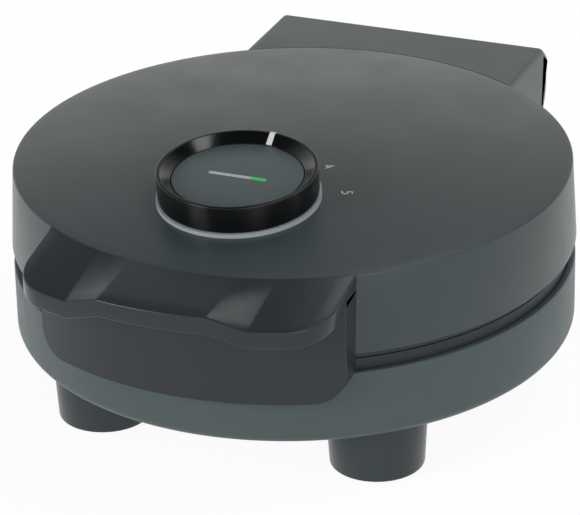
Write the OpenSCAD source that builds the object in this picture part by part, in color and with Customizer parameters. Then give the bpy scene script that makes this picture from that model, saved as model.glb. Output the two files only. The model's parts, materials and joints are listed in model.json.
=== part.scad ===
/* [Drum] */
// Radius of the base wall
base_r = 113.5; // [108:0.5:120]
// Distance by which the lid's lower edge stands out over the base wall
lid_over = 0.3; // [0:0.1:1]
// Distance by which the lid narrows from its lower to its top edge
lid_taper = 1.8; // [0.5:0.1:3]
// Height of the base wall
base_h = 29.4; // [27:0.2:36]
// Height of the lid wall
lid_wall_h = 32.5; // [31:0.5:38]
// Rise of the domed top above the lid's edge
dome_rise = 8; // [7:0.5:10]
// Thickness of the moulded shells
wall = 2.6; // [2.2:0.1:3]
// Radius of the base's lower edge
base_edge = 4.5; // [3:0.5:7]
// Chamfer on the lid's top edge
lid_edge = 0.8; // [0.4:0.1:1.4]
// Height of the rims that show between base and lid
rims_show = 8.0; // [7.5:0.1:9]

/* [Feet] */
// Height of a foot under the base
foot_h = 27.2; // [20:0.2:34]
// Radius of a foot at its top
foot_top_r = 20.2; // [18:0.2:22]
// Radius of a foot at its bottom
foot_low_r = 18.6; // [17:0.2:20]
// Distance of a foot's axis inside the base wall
foot_inset = 28.62; // [25:0.01:34]
// Angle of a foot from the side, seen from above
foot_turn = 46.43; // [40:0.01:50]
// Radius of a rubber pad
pad_r = 13; // [10:0.5:15]
// Thickness of a rubber pad
pad_t = 2.5; // [2:0.1:3.5]
// Height by which a pad stands out of its foot
pad_out = 1.2; // [0.8:0.1:1.6]

/* [Front handle] */
// Half the width of the handle
handle_half_w = 63; // [58:0.2:66]
// Distance by which the lip stands out over the flap
lip_over = 19.6; // [16:0.2:22]
// Drop of the lip's wings at the front below the lid's top edge
lip_drop = 7.1; // [6:0.1:9]
// Thickness of the lip
lip_t = 7.4; // [6:0.2:9]
// Rise of the lip's middle above its wings at the front
lip_rise = 4.8; // [3:0.2:5.4]
// Half width of the raised middle
lip_mid_w = 22; // [16:1:26]
// Width of each slope beside the raised middle
lip_ramp_w = 14.6; // [12:0.2:18]
// Corner radius of the lip in plan
lip_corner = 20.6; // [14:0.2:26]
// Distance by which the flap stands out over the lid
flap_out = 8.2; // [7:0.2:11]
// Depth of the flap's lower edge below the lid's top edge
flap_depth = 48; // [44:0.5:52]
// Corner radius of the flap
flap_corner = 11; // [8:1:14]

/* [Hinge] */
// Distance of the hinge axis behind the base wall
hinge_out = 6; // [5:0.5:8]
// Depth of the hinge axis below the lid's top edge
hinge_drop = 15.2; // [14.5:0.1:16.5]
// Gap between the turning cover and the bracket under it
cover_gap = 0.9; // [0.5:0.1:1.4]
// Half the width of the hinge cover
cover_half_w = 60.3; // [58:0.2:62]
// Radius of a hinge pin
pin_r = 2.5; // [2:0.1:3]
// Width of a hinge arm
arm_w = 12; // [9:0.5:13]
// Distance of a hinge arm's middle inside the cover's side
arm_inset = 14.3; // [13:0.1:18]
// Thickness of a hinge ear
ear_t = 4; // [3:0.2:4.4]
// Radius of the barrels on the hinge axis
barrel_r = 8; // [7:0.2:8.6]
// Width of the post that carries the lead to the lid
post_w = 12; // [10:0.5:13]

/* [Dial] */
// Distance of the dial in front of the drum's axis
dial_front = 55.2; // [50:0.2:58]
// Forward tilt of the dial in degrees
dial_tilt = 4.7; // [3:0.1:6]
// Outer radius of the dial ring
dial_r = 31.5; // [30.5:0.1:33]
// Height of the dial's edge above its seat
dial_h = 13.3; // [12.5:0.1:15]
// Width of the ring from its outside to the fixed disc
dial_band = 5.8; // [4.6:0.1:7]
// Height of the disc above the dial's seat
disc_h = 9.8; // [9.4:0.1:10.6]
// Width of the flat edge on top of the ring
dial_lip = 1.5; // [1:0.1:2]
// Length of the light bar
light_len = 24; // [18:1:28]
// Width of the light bar
light_w = 1.5; // [1.2:0.1:2]
// Angle of the pointer from the right in degrees
pointer_angle = 85; // [80:1:90]

/* [Plates] */
// Width of the rim outside the baking plates
rim_w = 18.5; // [16:0.5:24]
// Thickness of a baking plate
plate_t = 5; // [4:0.2:5.4]
// Gap between the closed plates
plate_gap = 1.6; // [1:0.1:2.4]
// Depth of the engraved pattern
groove = 0.8; // [0.5:0.1:1.2]
// Petals in the engraved rosette
petals = 12; // [8:1:16]
// Radius of the heating tubes
tube_r = 3.3; // [2.8:0.1:3.6]
// Distance of a heating tube's loop inside the plate's edge
loop_inset = 29; // [22:1:36]

/* [Inlet] */
// Radius of the bore in the cord gland
gland_bore = 4; // [3:0.1:4.6]
// Distance of the gland from the middle plane
gland_x = 26; // [20:1:30]

/* [Hidden] */
$fn = 96;

// Small clearances
run = 0.05;
seat = 0.3;
fit = 0.1;
eps = 0.01;
past = 1;

// Radii that follow from the base wall
lid_low_r = base_r + lid_over;
lid_top_r = lid_low_r - lid_taper;
flap_r = lid_low_r + flap_out;
lip_reach = flap_r + lip_over;
hinge_back = base_r + hinge_out;
plate_r = base_r - rim_w;
loop_r = plate_r - loop_inset;
foot_circle = base_r - foot_inset;
foot_x = foot_circle * cos(foot_turn);
foot_y = foot_circle * sin(foot_turn);

// Heights above the table
base_z = foot_h;
base_top_z = base_z + base_h;
lid_low_z = base_top_z + rims_show;
part_z = lid_low_z - 3;
rim_gap = 0.5;
base_ring_top = part_z - rim_gap / 2;
lid_ring_low = part_z + rim_gap / 2;
lid_top_z = lid_low_z + lid_wall_h;
dome_r = (lid_top_r * lid_top_r + dome_rise * dome_rise) / (2 * dome_rise);
dome_z = lid_top_z + dome_rise - dome_r;

// Screws
screw_r = 1.5;
screw_head_r = 3;
screw_head_h = 2;
screw_hole_r = screw_r + seat;

// Hinge
hinge_z = lid_top_z - hinge_drop;
bracket_t = 3;
box_top_z = base_top_z - wall;
bracket_top_z = box_top_z + bracket_t;
cover_r = hinge_z - bracket_top_z - cover_gap;
cover_front = hinge_back - 30;
box_low_z = base_z + 9;
box_half_w = cover_half_w - 6.3;
box_back = hinge_back + cover_r - 5.5;
box_front = base_r - 33.5;
box_room_front = base_r - 25;
box_corner = 8;
gland_r = gland_bore + 2.2;
gland_lip = 0.7;
gland_z = (box_low_z + wall + box_top_z) / 2;
column_w = 10;
slot_gap = 0.5;
slot_top_z = hinge_z + barrel_r + 1.5;
post_x = -12;
post_r = 5;
post_column_w = 8;
ear_gap = 0.6;
arm_x = cover_half_w - arm_inset;
ear_in_x = arm_x - arm_w / 2 - ear_gap - ear_t;
ear_out_x = arm_x + arm_w / 2 + ear_gap;
pin_half_l = arm_w / 2 + ear_gap + ear_t + 0.5;
boss_x = 25;
boss_w = 10;
boss_l = 11;
lead_end_x = post_x + post_w / 2 + 1;
lead_in_x = post_x + 22;
cover_screw_z = lid_top_z - wall - 6;
handle_screw_z = lid_top_z - wall - 13;

// Colours that more than one piece has
zinc = [0.70, 0.71, 0.72];
sleeve_red = [0.75, 0.30, 0.20];
coating_black = [0.20, 0.20, 0.21];
heater_brown = [0.55, 0.50, 0.45];
bare_sheet = [0.80, 0.80, 0.80];
rim_grey = [0.42, 0.45, 0.46];

// The whole part is centred front to back on its box
cover_back = hinge_back + cover_r;
drum_y = (lip_reach - cover_back) / 2;

// Rings round the plates
ring_r = base_r - wall;
ring_wall = 2.4;
ring_top_t = 3;
ring_in_r = plate_r + 2.6;
ledge_in_r = plate_r - 5;
ledge_t = 2.2;
base_ring_skirt_r = base_r - wall - fit;
lid_ring_skirt_r = lid_top_r - wall - 1;
lower_top = part_z - plate_gap / 2;
lower_back = lower_top - plate_t;
upper_low = part_z + plate_gap / 2;
upper_back = upper_low + plate_t;
boss_circle = 40;
boss_r = 4;
boss_h = 9.5;
dish_t = 0.8;
dish_r = plate_r - 11;
dish_cone = 6;
frame_boss_r = 4.5;
frame_screw_r = ring_r - frame_boss_r - 3.4;
frame_boss_h = 20;
lid_boss_z = 10;
foot_boss_h = 4;
foot_boss_r = 6;
block_y = base_r - 25.5;
block_t = 10;
block_hole_z = base_z + wall + 4.5;
box_lead_z = box_low_z + wall + 4;
pin_turn = 20;
fuse_r = 2.2;
pin_wire_r = 1.4;

// Dial
disc_r = dial_r - dial_band;
dial_seat_z = dome_z + sqrt(dome_r * dome_r - dial_front * dial_front) - 0.9;
seat_flange_r = dial_r + 0.7;
seat_top = 2.1;
seat_low = -1.0;
gear_top = 6;
gear_low = seat_top + seat;
ring_teeth = 48;
pinion_teeth = 20;
pitch_r = disc_r - 1.7;
tooth = 2 * pitch_r / ring_teeth;
pinion_pitch_r = tooth * pinion_teeth / 2;
centre_gap = pitch_r - pinion_pitch_r;
pressure = 20;
pointer_w = 2.4;
backlash = 0.3;
shaft_r = 3;
thermo_top = -9;
thermo_h = lid_wall_h + dome_rise - 31.5;
thermo_low = thermo_top - thermo_h;
thermo_half = 12;
thermo_post_x = thermo_half + 5;
thermo_post_r = 2.6;
step_t = 1.5;
strap_t = 1.2;
seat_hole_r = norm([thermo_post_x, centre_gap]) + thermo_post_r + 0.4;
seat_screw_r = (seat_hole_r + seat_flange_r) / 2;
board_top = -4;
board_t = 1.4;
disc_low = gear_top + seat;
light_low = board_top + 2.6;
post_spots = [[13.5, 12], [-13.5, 12], [0, 17.5]];

module at_drum() {
    translate([0, drum_y, 0]) children();
}

module at_dial() {
    at_drum() translate([0, -dial_front, dial_seat_z]) rotate([dial_tilt, 0, 0]) children();
}

// A profile drawn in Y and Z, run from x0 to x1
module bar_x(x0, x1) {
    translate([x0, 0, 0]) rotate([90, 0, 90]) linear_extrude(x1 - x0) children();
}

module both_sides() {
    children();
    mirror([1, 0, 0]) children();
}

module screw(length) {
    translate([0, 0, -eps]) cylinder(h = length + eps, r = screw_r, $fn = 32);
    translate([0, 0, -screw_head_h]) difference() {
        cylinder(h = screw_head_h, r = screw_head_r, $fn = 32);
        for (turn = [0, 90]) rotate(turn) translate([-1.8, -0.4, -past]) cube([3.6, 0.8, past + 1]);
    }
}

module four_round(circle_r) {
    for (turn = [45 : 90 : 315]) rotate(turn) translate([circle_r, 0, 0]) children();
}

module three_round(circle_r) {
    for (turn = [30, 150, 270]) rotate(turn) translate([circle_r, 0, 0]) children();
}

module at_feet() {
    for (sx = [-1, 1], sy = [-1, 1]) translate([sx * foot_x, sy * foot_y, 0]) children();
}

// The lid's outside, grown or shrunk by a distance
module lid_body(grow, low_z) {
    rotate_extrude($fn = 180) intersection() {
        translate([0, dome_z]) circle(r = dome_r + grow, $fn = 1440);
        polygon([[0, low_z], [lid_low_r + grow, low_z], [lid_low_r + grow, lid_low_z],
            [lid_top_r + grow, lid_top_z - lid_edge], [lid_top_r + grow - lid_edge, lid_top_z + grow + 0.3],
            [0, lid_top_z + 2 * dome_rise]]);
    }
}

// Base

module box_plan(inset) {
    half = box_half_w - inset;
    back = box_back - inset;
    r = box_corner - inset;
    translate([-half, box_front]) square([2 * half, back - r - box_front]);
    translate([-half + r, box_front]) square([2 * (half - r), back - box_front]);
    for (s = [-1, 1]) translate([s * (half - r), back - r]) circle(r = r);
}

module base_shell() {
    color([0.36, 0.39, 0.40]) at_drum() difference() {
        union() {
            rotate_extrude($fn = 180) {
                translate([0, base_z]) square([base_r - base_edge, base_h]);
                translate([0, base_z + base_edge]) square([base_r, base_h - base_edge]);
                translate([base_r - base_edge, base_z + base_edge]) circle(r = base_edge);
            }
            translate([0, 0, box_low_z]) linear_extrude(box_top_z - box_low_z) box_plan(0);
        }
        difference() {
            translate([0, 0, base_z + wall]) cylinder(h = base_h, r = base_r - wall, $fn = 180);
            four_round(frame_screw_r) translate([0, 0, base_z]) cylinder(h = frame_boss_h, r = frame_boss_r);
            at_feet() translate([0, 0, base_z]) cylinder(h = wall + foot_boss_h, r = foot_boss_r);
        }
        translate([0, 0, box_low_z + wall]) linear_extrude(box_top_z - box_low_z) intersection() {
            box_plan(wall);
            translate([-box_half_w, box_room_front]) square([2 * box_half_w, 60]);
        }
        translate([gland_x, box_back - 2 * wall, gland_z]) rotate([-90, 0, 0])
            cylinder(h = 4 * wall, r = gland_r + fit);
        four_round(frame_screw_r) translate([0, 0, base_z - past]) {
            cylinder(h = 30, r = screw_hole_r);
            cylinder(h = past + 4, r = screw_head_r + seat);
        }
        at_feet() translate([0, 0, base_z - past]) cylinder(h = 12, r = screw_hole_r);
        for (turn = [0 : 30 : 330]) rotate(turn) translate([22, -1.5, base_z - past])
            cube([16, 3, wall + 2 * past]);
    }
}

module base_rim_ring() {
    color(rim_grey) at_drum() difference() {
        rotate_extrude($fn = 180) {
            translate([ring_in_r, base_ring_top - ring_top_t]) square([ring_r - ring_in_r, ring_top_t]);
            translate([base_ring_skirt_r - 4, base_top_z - 6])
                square([4, base_ring_top - ring_top_t - base_top_z + 6 + eps]);
            translate([ledge_in_r, lower_back - seat - ledge_t])
                square([ring_in_r + ring_wall - ledge_in_r, ledge_t]);
            translate([ring_in_r, lower_back - seat - ledge_t])
                square([ring_wall, base_ring_top - lower_back + seat + ledge_t]);
        }
        translate([0, hinge_back, hinge_z]) rotate([0, 90, 0])
            cylinder(h = 2 * cover_half_w + 3, r = cover_r + 2 * seat, center = true);
        translate([-box_half_w - past, box_room_front, 0])
            cube([2 * box_half_w + 2 * past, 60, base_ring_top - ring_top_t]);
        four_round(frame_screw_r) translate([0, 0, base_z]) cylinder(h = part_z - base_z - 2, r = screw_r);
    }
    color(rim_grey) at_drum() four_round(frame_screw_r) difference() {
        boss_z = base_z + frame_boss_h + fit;
        translate([0, 0, boss_z]) cylinder(h = base_ring_top - ring_top_t - boss_z + eps, r = frame_boss_r);
        translate([0, 0, base_z]) cylinder(h = part_z - base_z - 2, r = screw_r);
    }
}

module feet() {
    color([0.30, 0.33, 0.34]) at_drum() at_feet() difference() {
        translate([0, 0, pad_out]) cylinder(h = base_z - pad_out, r1 = foot_low_r, r2 = foot_top_r);
        translate([0, 0, -past]) cylinder(h = past + pad_t, r = pad_r + fit);
        translate([0, 0, base_z - 12]) cylinder(h = 12 + past, r = screw_r);
    }
}

module foot_pads() {
    color([0.10, 0.10, 0.11]) at_drum() at_feet() cylinder(h = pad_t, r = pad_r);
}

module foot_screws() {
    color(zinc) at_drum() at_feet() translate([0, 0, base_z + wall + foot_boss_h]) mirror([0, 0, 1])
        screw(wall + 14);
}

module base_screws() {
    color(zinc) at_drum() four_round(frame_screw_r) translate([0, 0, base_z + 3]) screw(24);
}

// A disc with three bosses on its back and a rosette in its face, back upwards
module baking_plate() {
    difference() {
        union() {
            cylinder(h = plate_t, r = plate_r, $fn = 180);
            three_round(boss_circle) cylinder(h = plate_t + boss_h, r = boss_r);
        }
        three_round(boss_circle) translate([0, 0, plate_t + 2]) cylinder(h = boss_h, r = screw_r);
        for (r = [plate_r - 4, plate_r - 16, 24]) translate([0, 0, -past]) difference() {
            cylinder(h = past + groove, r = r, $fn = 180);
            translate([0, 0, -past]) cylinder(h = 3 * past + groove, r = r - 1.6, $fn = 180);
        }
        for (i = [0 : petals - 1]) rotate(i * 360 / petals) translate([50, 0, -past])
            linear_extrude(past + groove) petal();
        for (i = [0 : petals - 1]) rotate((i + 0.5) * 360 / petals) translate([62, 0, -past])
            cylinder(h = past + groove, r = 3.4);
        for (i = [0 : petals / 2 - 1]) rotate(i * 720 / petals) translate([12, 0, -past])
            linear_extrude(past + groove) scale([0.42, 0.42]) petal();
    }
}

module petal() {
    intersection() {
        translate([0, 26]) circle(r = 34);
        translate([0, -26]) circle(r = 34);
    }
}

module lower_baking_plate() {
    color(coating_black) at_drum() translate([0, 0, lower_top]) mirror([0, 0, 1]) baking_plate();
}

module upper_baking_plate() {
    color(coating_black) at_drum() translate([0, 0, upper_low]) baking_plate();
}

// A tubular loop with two ends that stand up behind it
module heating_tube() {
    rotate(90 + pin_turn) rotate_extrude(angle = 360 - 2 * pin_turn, $fn = 120) translate([loop_r, 0])
        circle(r = tube_r, $fn = 32);
    for (turn = [90 - pin_turn, 90 + pin_turn]) rotate(turn) translate([loop_r, 0, -tube_r / 2]) {
        cylinder(h = boss_h + 2, r = tube_r + 0.4, $fn = 32);
        cylinder(h = boss_h + 7, r = pin_wire_r, $fn = 32);
    }
}

module lower_heating_tube() {
    color(heater_brown) at_drum() translate([0, 0, lower_back - tube_r - fit]) mirror([0, 0, 1])
        heating_tube();
}

module upper_heating_tube() {
    color(heater_brown) at_drum() translate([0, 0, upper_back + tube_r + fit]) heating_tube();
}

// A sheet dish whose rim grips the ledge, back upwards from the plate's back
module reflector() {
    rim_z = seat + ledge_t + seat;
    difference() {
        rotate_extrude($fn = 180) {
            translate([dish_r, rim_z]) square([plate_r - dish_r - 0.5, dish_t]);
            polygon([[dish_r - dish_cone, boss_h], [dish_r, rim_z], [dish_r + dish_t, rim_z + eps],
                [dish_r - dish_cone + dish_t, boss_h + dish_t]]);
            translate([0, boss_h]) square([dish_r - dish_cone + eps, dish_t]);
        }
        three_round(boss_circle) cylinder(h = boss_h + 5, r = screw_hole_r);
        for (turn = [90 - pin_turn, 90 + pin_turn]) rotate(turn) translate([loop_r, 0, 0])
            cylinder(h = boss_h + 5, r = tube_r + 1);
    }
}

module lower_reflector() {
    color(bare_sheet) at_drum() translate([0, 0, lower_back]) mirror([0, 0, 1]) reflector();
}

module upper_reflector() {
    color(bare_sheet) at_drum() translate([0, 0, upper_back]) reflector();
}

module plate_screws() {
    three_round(boss_circle) translate([0, 0, boss_h + dish_t]) mirror([0, 0, 1]) screw(8);
}

module lower_plate_screws() {
    color(zinc) at_drum() translate([0, 0, lower_back]) mirror([0, 0, 1]) plate_screws();
}

module upper_plate_screws() {
    color(zinc) at_drum() translate([0, 0, upper_back]) plate_screws();
}

module terminal_block() {
    color([0.85, 0.84, 0.80]) at_drum() translate([-18, block_y, base_z + wall]) difference() {
        cube([36, block_t, 9]);
        for (i = [0 : 2]) translate([6 + 12 * i, -past, 4.5]) rotate([-90, 0, 0])
            cylinder(h = block_t + 2 * past, r = 2.4);
    }
}

module thermal_fuse() {
    color([0.75, 0.74, 0.70]) at_drum() translate([20, 0, lower_back - boss_h - dish_t - fuse_r])
        rotate([0, 90, 0]) cylinder(h = 16, r = fuse_r);
}

// A straight run of wire between two points, with a round joint at its start
module wire(a, b, r) {
    d = b - a;
    l = norm(d);
    translate(a) sphere(r = r + 0.1, $fn = 12);
    translate(a) rotate([0, acos(d[2] / l), atan2(d[1], d[0])]) cylinder(h = l, r = r, $fn = 12);
}

module wire_path(points, r) {
    for (i = [0 : len(points) - 2]) wire(points[i], points[i + 1], r);
}

module base_leads() {
    tube_end_z = lower_back - tube_r - boss_h - 7.5;
    end_x = loop_r * sin(pin_turn);
    end_y = loop_r * cos(pin_turn);
    post_lead = [post_x, box_back - 26, box_lead_z];
    color(sleeve_red) at_drum() {
        for (s = [-1, 1])
            wire_path([[12 * s, block_y + 2, block_hole_z], [12 * s, block_y - 10, block_hole_z],
                [end_x * s, end_y, tube_end_z]], 1.3);
        wire_path([post_lead, [post_x, hinge_back, box_lead_z + 2], [post_x, hinge_back, hinge_z],
            [lead_end_x, hinge_back, hinge_z]], 2);
        wire_path([[0, block_y + block_t - 2, block_hole_z], [0, block_y + block_t + 6, block_hole_z],
            [post_x, block_y + block_t + 8, box_lead_z], post_lead], 2);
    }
}

module cord_gland() {
    color([0.08, 0.08, 0.09]) at_drum() translate([gland_x, box_back, gland_z]) rotate([-90, 0, 0])
    difference() {
        union() {
            translate([0, 0, -wall - 3]) cylinder(h = wall + 3 + eps, r = gland_r);
            cylinder(h = 2.4, r = gland_r + 1.8);
            translate([0, 0, -wall - 3]) cylinder(h = 3 - seat, r = gland_r + gland_lip);
        }
        translate([0, 0, -20]) cylinder(h = 40, r = gland_bore);
    }
}

// Hinge

module hinge_post(x0, x1, r, column) {
    bar_x(x0, x1) {
        translate([hinge_back, hinge_z]) circle(r = r);
        translate([hinge_back - column / 2, box_top_z]) square([column, hinge_z - box_top_z]);
    }
}

module hinge_bracket() {
    color([0.26, 0.28, 0.29]) at_drum() difference() {
        union() {
            translate([0, 0, box_top_z]) linear_extrude(bracket_t) box_plan(0);
            both_sides() hinge_post(arm_x - arm_w / 2, arm_x + arm_w / 2, barrel_r, column_w);
            hinge_post(post_x - post_w / 2, post_x + post_w / 2, post_r, post_column_w);
        }
        translate([0, 0, box_low_z]) cylinder(h = bracket_top_z, r = base_r + seat, $fn = 180);
        translate([0, hinge_back, hinge_z]) rotate([0, 90, 0])
            cylinder(h = 3 * cover_half_w, r = pin_r + run, center = true);
        translate([post_x, hinge_back, box_top_z - past]) cylinder(h = hinge_z - box_top_z + past, r = 2.8);
        bracket_spots() translate([0, 0, box_top_z - past]) {
            cylinder(h = bracket_t + 2 * past, r = screw_hole_r);
            translate([0, 0, past + bracket_t - screw_head_h]) cylinder(h = bracket_t, r = screw_head_r + fit);
        }
    }
}

module bracket_spots() {
    for (x = [-box_half_w + 7, -10, 10, box_half_w - 7]) translate([x, box_back - 5.5, 0]) children();
}

module bracket_screws() {
    color(zinc) at_drum() bracket_spots()
        translate([0, 0, bracket_top_z - screw_head_h]) mirror([0, 0, 1]) screw(bracket_t + 4);
}

module hinge_pins() {
    color([0.75, 0.76, 0.77]) at_drum() both_sides() translate([arm_x - pin_half_l, hinge_back, hinge_z])
        rotate([0, 90, 0]) cylinder(h = 2 * pin_half_l, r = pin_r);
}

module cover_side(inset) {
    intersection() {
        union() {
            translate([hinge_back, hinge_z]) circle(r = cover_r - inset);
            translate([cover_front, lid_low_z - past])
                square([hinge_back - cover_front, lid_top_z + past - lid_low_z]);
        }
        translate([cover_front, inset > 0 ? lid_low_z - past : lid_low_z])
            square([cover_back - cover_front + past, lid_top_z - lid_low_z - inset + (inset > 0 ? past : 0)]);
    }
}

module hinge_cover() {
    inner_half = cover_half_w - wall;
    color([0.34, 0.37, 0.38]) at_drum() difference() {
        union() {
            difference() {
                bar_x(-cover_half_w, cover_half_w) cover_side(0);
                bar_x(-inner_half, inner_half) cover_side(wall);
            }
            both_sides() {
                bar_x(ear_in_x, ear_in_x + ear_t) ear();
                bar_x(ear_out_x, inner_half + eps) ear();
                translate([boss_x - boss_w / 2, cover_front + 5, lid_top_z - wall - boss_l])
                    cube([boss_w, hinge_back - cover_front - 5, boss_l + eps]);
            }
        }
        lid_body(fit, lid_low_z - 2 * past);
        translate([0, hinge_back, hinge_z]) rotate([0, 90, 0])
            cylinder(h = 2 * inner_half, r = pin_r + run, center = true);
        for (x = [-arm_x, arm_x]) slot(x, arm_w);
        slot(post_x, post_w);
        both_sides() translate([boss_x, cover_front + 5, cover_screw_z]) rotate([-90, 0, 0])
            cylinder(h = hinge_back - cover_front - 3, r = screw_r);
    }
}

module ear() {
    translate([hinge_back, hinge_z]) circle(r = barrel_r);
    translate([hinge_back - barrel_r, hinge_z]) square([2 * barrel_r, lid_top_z - wall - hinge_z + eps]);
}

module slot(x, width) {
    translate([x - width / 2 - slot_gap, hinge_back + barrel_r + seat, 0])
        cube([width + 2 * slot_gap, cover_r, slot_top_z]);
}

module cover_screws() {
    color(zinc) at_drum() both_sides()
        translate([boss_x, lid_wall_y(boss_x) - wall - 2 * seat, cover_screw_z]) rotate([-90, 0, 0]) screw(12);
}

// Lid

// How far out the lid's wall stands at a distance from the middle plane
function lid_wall_y(x) = sqrt(lid_top_r * lid_top_r - x * x);

module lid_shell() {
    color([0.24, 0.27, 0.28]) at_drum() difference() {
        union() {
            difference() {
                lid_body(0, lid_low_z);
                lid_body(-wall, lid_low_z - past);
            }
            intersection() {
                lid_body(-wall / 2, lid_low_z);
                four_round(frame_screw_r) translate([0, 0, lid_ring_low + lid_boss_z])
                    cylinder(h = lid_wall_h + dome_rise, r = frame_boss_r);
            }
        }
        four_round(frame_screw_r) translate([0, 0, lid_ring_low]) cylinder(h = 24, r = screw_r);
        translate([lead_in_x, lid_top_r, hinge_z]) rotate([90, 0, 0]) cylinder(h = 20, r = 3.5, center = true);
        both_sides() {
            translate([boss_x, lid_top_r, cover_screw_z]) rotate([90, 0, 0])
                cylinder(h = 20, r = screw_hole_r, center = true);
            translate([boss_x, -lid_top_r, handle_screw_z]) rotate([90, 0, 0])
                cylinder(h = 20, r = screw_hole_r, center = true);
        }
        translate([0, -dial_front, dial_seat_z]) rotate([dial_tilt, 0, 0]) {
            translate([0, 0, seat_low]) cylinder(h = 20, r = seat_flange_r + fit);
            translate([0, 0, -20]) cylinder(h = 20, r = seat_hole_r);
            three_round(seat_screw_r) translate([0, 0, -20]) cylinder(h = 20, r = screw_hole_r);
        }
    }
}

module lid_rim_ring() {
    color([0.30, 0.33, 0.34]) at_drum() difference() {
        union() {
            rotate_extrude($fn = 180) {
                translate([ring_in_r, lid_ring_low]) square([ring_r - ring_in_r, ring_top_t]);
                translate([lid_ring_skirt_r - 3, lid_ring_low + ring_top_t - eps])
                    square([ring_wall, lid_boss_z - ring_top_t - 2 * fit]);
                translate([ledge_in_r, upper_back + seat])
                    square([ring_in_r + ring_wall - ledge_in_r, ledge_t]);
                translate([ring_in_r, lid_ring_low])
                    square([ring_wall, upper_back + seat + ledge_t - lid_ring_low]);
            }
            four_round(frame_screw_r) translate([0, 0, lid_ring_low])
                cylinder(h = lid_boss_z - fit, r = frame_boss_r);
        }
        four_round(frame_screw_r) translate([0, 0, lid_ring_low - past]) {
            cylinder(h = 20, r = screw_hole_r);
            cylinder(h = past + ring_top_t, r = screw_head_r + seat);
        }
    }
}

module lid_screws() {
    color(zinc) at_drum() four_round(frame_screw_r) translate([0, 0, lid_ring_low + ring_top_t])
        screw(14);
}

// An arc round the drum's axis, with a round corner at each end
module lip_plan() {
    r = lip_corner;
    x = handle_half_w - r;
    y = -sqrt((lip_reach - r) * (lip_reach - r) - x * x);
    intersection() {
        circle(r = lip_reach, $fn = 180);
        polygon([[0, 0], [2 * x, 2 * y], [-2 * x, 2 * y]]);
    }
    translate([-handle_half_w, y]) square([2 * handle_half_w, -lid_top_r / 2 - y]);
    for (s = [-1, 1]) translate([s * x, y]) circle(r = r);
}

function lip_wave(x) = lip_rise * max(0, min(1, (lip_mid_w + lip_ramp_w - abs(x)) / lip_ramp_w));

// Height of the lip's top: the lid's edge at the back and the wave at the front
function lip_top(x, r) = let (front = lid_top_z - lip_drop + lip_wave(x))
    front + (lid_top_z - front) * (lip_reach - r) / (lip_reach - lid_top_r);

// The lip as a band across, with a ring of four points at each of its places
module lip_band() {
    ramp_end = lip_mid_w + lip_ramp_w;
    half = [for (k = [1 : 2]) lip_mid_w * k / 2, for (k = [1 : 4]) lip_mid_w + lip_ramp_w * k / 4,
        for (k = [1 : 4]) ramp_end + (handle_half_w + past - ramp_end) * k / 4];
    n = len(half);
    places = [for (k = [1 : n]) -half[n - k], 0, for (x = half) x];
    reach = [lid_top_r - 8, lip_reach + past];
    points = [for (x = places) for (c = [[0, 0], [1, 0], [1, 1], [0, 1]])
        let (r = reach[c[0]]) [x, -sqrt(r * r - x * x), lip_top(x, r) - c[1] * lip_t]];
    last = 4 * (len(places) - 1);
    polyhedron(points, [[0, 1, 2, 3], [last + 3, last + 2, last + 1, last],
        for (i = [0 : 4 : last - 4]) for (k = [0 : 3]) [i + k, i + 4 + k, i + 4 + (k + 1) % 4],
        for (i = [0 : 4 : last - 4]) for (k = [0 : 3]) [i + k, i + 4 + (k + 1) % 4, i + (k + 1) % 4]]);
}

module flap_front() {
    low = lid_top_z - flap_depth;
    w = handle_half_w;
    r = flap_corner;
    translate([-w, low + r]) square([2 * w, flap_depth - r]);
    translate([-w + r, low]) square([2 * (w - r), r + past]);
    for (s = [-1, 1]) translate([s * (w - r), low + r]) circle(r = r);
}

module lid_handle() {
    flap_low = lid_top_z - flap_depth;
    flap_top = lid_top_z - lip_drop + 0.9;
    color([0.22, 0.24, 0.25]) at_drum() difference() {
        union() {
            intersection() {
                translate([0, 0, lid_low_z]) linear_extrude(lid_wall_h + dome_rise) lip_plan();
                lip_band();
            }
            difference() {
                intersection() {
                    translate([0, 0, flap_low]) cylinder(h = flap_top - flap_low, r = flap_r, $fn = 180);
                    translate([0, -60, 0]) rotate([90, 0, 0]) linear_extrude(80) flap_front();
                }
                intersection() {
                    translate([0, 0, flap_low + wall])
                        cylinder(h = flap_top - flap_low - wall - 5, r = flap_r - wall, $fn = 180);
                    translate([-handle_half_w + wall, -flap_r, flap_low])
                        cube([2 * handle_half_w - 2 * wall, 60, flap_depth]);
                }
            }
            both_sides() translate([boss_x, -flap_r + 3.4, handle_screw_z]) rotate([-90, 0, 0])
                cylinder(h = flap_r - lid_top_r + 4, r = 4.5);
        }
        lid_body(fit, lid_low_z);
        translate([0, 0, lid_top_z - 2 * lid_edge]) cylinder(h = 40, r = lid_top_r + fit, $fn = 180);
        translate([0, 0, flap_low - past])
            cylinder(h = lid_low_z - flap_low + past + eps, r = base_r + 2 * seat, $fn = 180);
        both_sides() translate([boss_x, -flap_r + 5, handle_screw_z]) rotate([-90, 0, 0])
            cylinder(h = flap_r - lid_top_r + 10, r = screw_r);
    }
}

module handle_screws() {
    color(zinc) at_drum() both_sides()
        translate([boss_x, -lid_wall_y(boss_x) + wall + seat + fit, handle_screw_z])
        rotate([90, 0, 0]) screw(9);
}

// Dial and thermostat

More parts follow.
